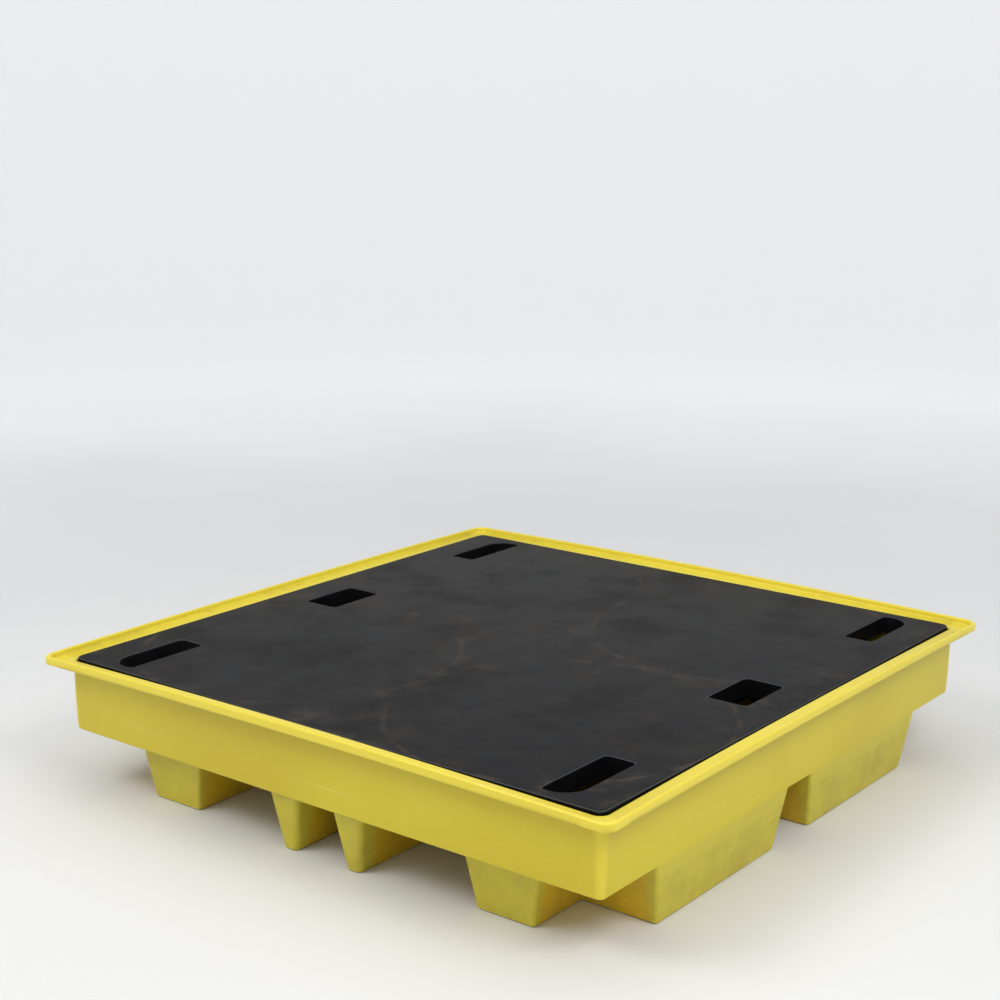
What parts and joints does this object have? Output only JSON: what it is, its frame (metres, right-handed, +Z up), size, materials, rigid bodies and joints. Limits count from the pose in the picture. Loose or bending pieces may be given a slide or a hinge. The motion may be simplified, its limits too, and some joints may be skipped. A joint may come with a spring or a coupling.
{
  "type": "spill containment pallet",
  "caption": "Square plastic spill pallet for drums: a low sump tray on hollow feet with two fork channels, and a slotted deck that lifts out on its support columns.",
  "frame": {"origin": "on the floor, at the bottom centre of the pallet's box", "axes": "+Z up; the fork channels run along Y; X and Y are square to the sides"},
  "size_m": [1.238, 1.238, 0.248],
  "materials": {
    "tray": "moulded yellow polyethylene, softly satin, with light scuffs",
    "deck": "moulded black polyethylene, satin, dusty where drums stand",
    "column": "extruded black polyethylene tube, plain saw-cut ends"
  },
  "bodies": {
    "sump": {"sump_tray": "tray"},
    "deck": {"deck": "deck", "short_column_1": "column", "short_column_2": "column", "short_column_3": "column", "short_column_4": "column", "short_column_5": "column", "short_column_6": "column", "short_column_7": "column", "short_column_8": "column", "tall_column_1": "column", "tall_column_2": "column", "tall_column_3": "column", "tall_column_4": "column"}
  },
  "joints": [
    {"name": "deck_lift", "type": "slide", "parent": "sump", "child": "deck", "axis": [0, 0, 1], "range_m": [0, 0.35]}
  ]
}
